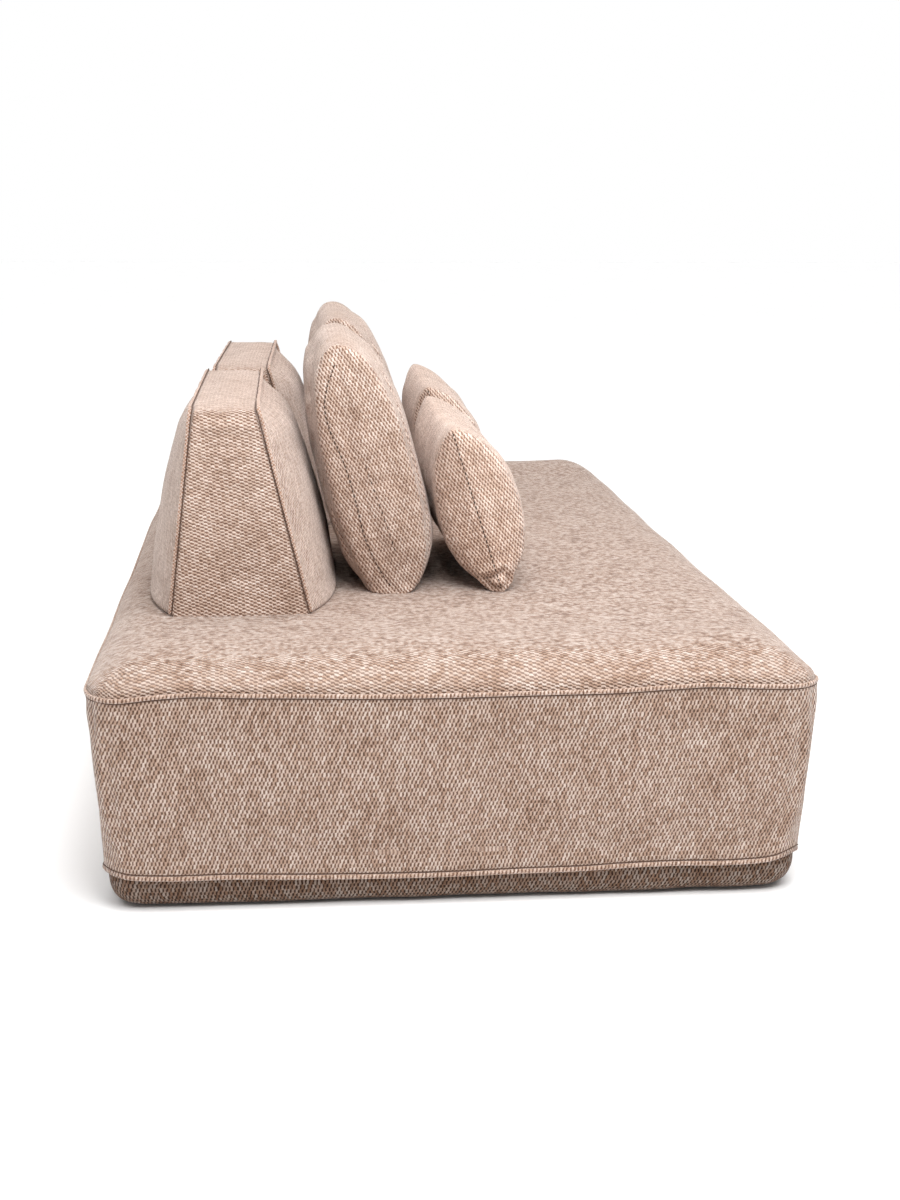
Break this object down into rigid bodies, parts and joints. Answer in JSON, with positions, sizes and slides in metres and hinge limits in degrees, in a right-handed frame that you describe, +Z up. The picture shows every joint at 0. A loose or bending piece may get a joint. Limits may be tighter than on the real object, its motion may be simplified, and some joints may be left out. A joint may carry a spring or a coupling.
{
  "type": "backless lounge sofa",
  "caption": "Low backless upholstered lounge sofa with loose weighted wedge backrests, leaning back cushions and throw pillows in a coarse woven cloth.",
  "frame": {"origin": "on the floor, under the middle of the whole sofa's box seen from above", "axes": "+X along the length, towards the far end in the picture; +Y from the front to the back; +Z up"},
  "size_m": [2.21, 1.15, 0.8551],
  "materials": {
    "cloth": "coarse woven chenille",
    "band_cloth": "coarse woven chenille in shade",
    "seam_cloth": "folded woven chenille",
    "timber": "planed pine",
    "plywood": "birch plywood",
    "steel": "zinc plated",
    "webbing": "woven elastic",
    "felt": "needled felt",
    "foam": "open-cell foam",
    "wadding": "soft fibre wadding",
    "tape": "hook and loop tape",
    "lining_cloth": "spunbonded cloth",
    "nylon": "matte moulded",
    "grip": "dotted non-slip cloth"
  },
  "bodies": {
    "base": {"front_rail": "timber", "rear_rail": "timber", "left_end_rail": "timber", "right_end_rail": "timber", "cross_rails": "timber", "corner_blocks": "timber", "frame_screws": "steel", "cross_webbing": "webbing", "long_webbing": "webbing", "insulator_pad": "felt", "foam_core": "foam", "foam_topper": "wadding", "front_pad": "wadding", "rear_pad": "wadding", "left_end_pad": "wadding", "right_end_pad": "wadding", "top_cover": "cloth", "front_cover": "cloth", "rear_cover": "cloth", "left_end_cover": "cloth", "right_end_cover": "cloth", "edge_seam": "seam_cloth", "hem_seam": "seam_cloth", "front_band": "band_cloth", "rear_band": "band_cloth", "left_end_band": "band_cloth", "right_end_band": "band_cloth", "loop_tape": "tape", "hook_tape": "tape", "dust_cover": "lining_cloth", "glides": "nylon", "glide_screws": "steel"},
    "left_backrest": {"left_block_grip": "grip", "left_block_board": "plywood", "left_block_weight": "steel", "left_block_screws": "steel", "left_block_foam": "foam", "left_block_front": "cloth", "left_block_rear": "cloth", "left_block_boxing": "cloth", "left_block_seams": "seam_cloth"},
    "left_back_cushion": {"left_cushion_cover": "cloth", "left_cushion_fill": "wadding"},
    "left_pillow": {"left_pillow_front": "cloth", "left_pillow_rear": "cloth", "left_pillow_fill": "wadding"},
    "right_backrest": {"right_block_grip": "grip", "right_block_board": "plywood", "right_block_weight": "steel", "right_block_screws": "steel", "right_block_foam": "foam", "right_block_front": "cloth", "right_block_rear": "cloth", "right_block_boxing": "cloth", "right_block_seams": "seam_cloth"},
    "right_back_cushion": {"right_cushion_cover": "cloth", "right_cushion_fill": "wadding"},
    "right_pillow": {"right_pillow_front": "cloth", "right_pillow_rear": "cloth", "right_pillow_fill": "wadding"}
  },
  "joints": [
    {"name": "left_backrest_slide", "type": "slide", "parent": "base", "child": "left_backrest", "axis": [0, -1, 0], "range_m": [0, 0.28]},
    {"name": "left_cushion_lift", "type": "slide", "parent": "left_backrest", "child": "left_back_cushion", "axis": [0, 0, 1], "range_m": [0, 0.45]},
    {"name": "left_pillow_lift", "type": "slide", "parent": "left_back_cushion", "child": "left_pillow", "axis": [0, 0, 1], "range_m": [0, 0.45]},
    {"name": "right_backrest_slide", "type": "slide", "parent": "base", "child": "right_backrest", "axis": [0, -1, 0], "range_m": [0, 0.28]},
    {"name": "right_cushion_lift", "type": "slide", "parent": "right_backrest", "child": "right_back_cushion", "axis": [0, 0, 1], "range_m": [0, 0.45]},
    {"name": "right_pillow_lift", "type": "slide", "parent": "right_back_cushion", "child": "right_pillow", "axis": [0, 0, 1], "range_m": [0, 0.45]}
  ]
}
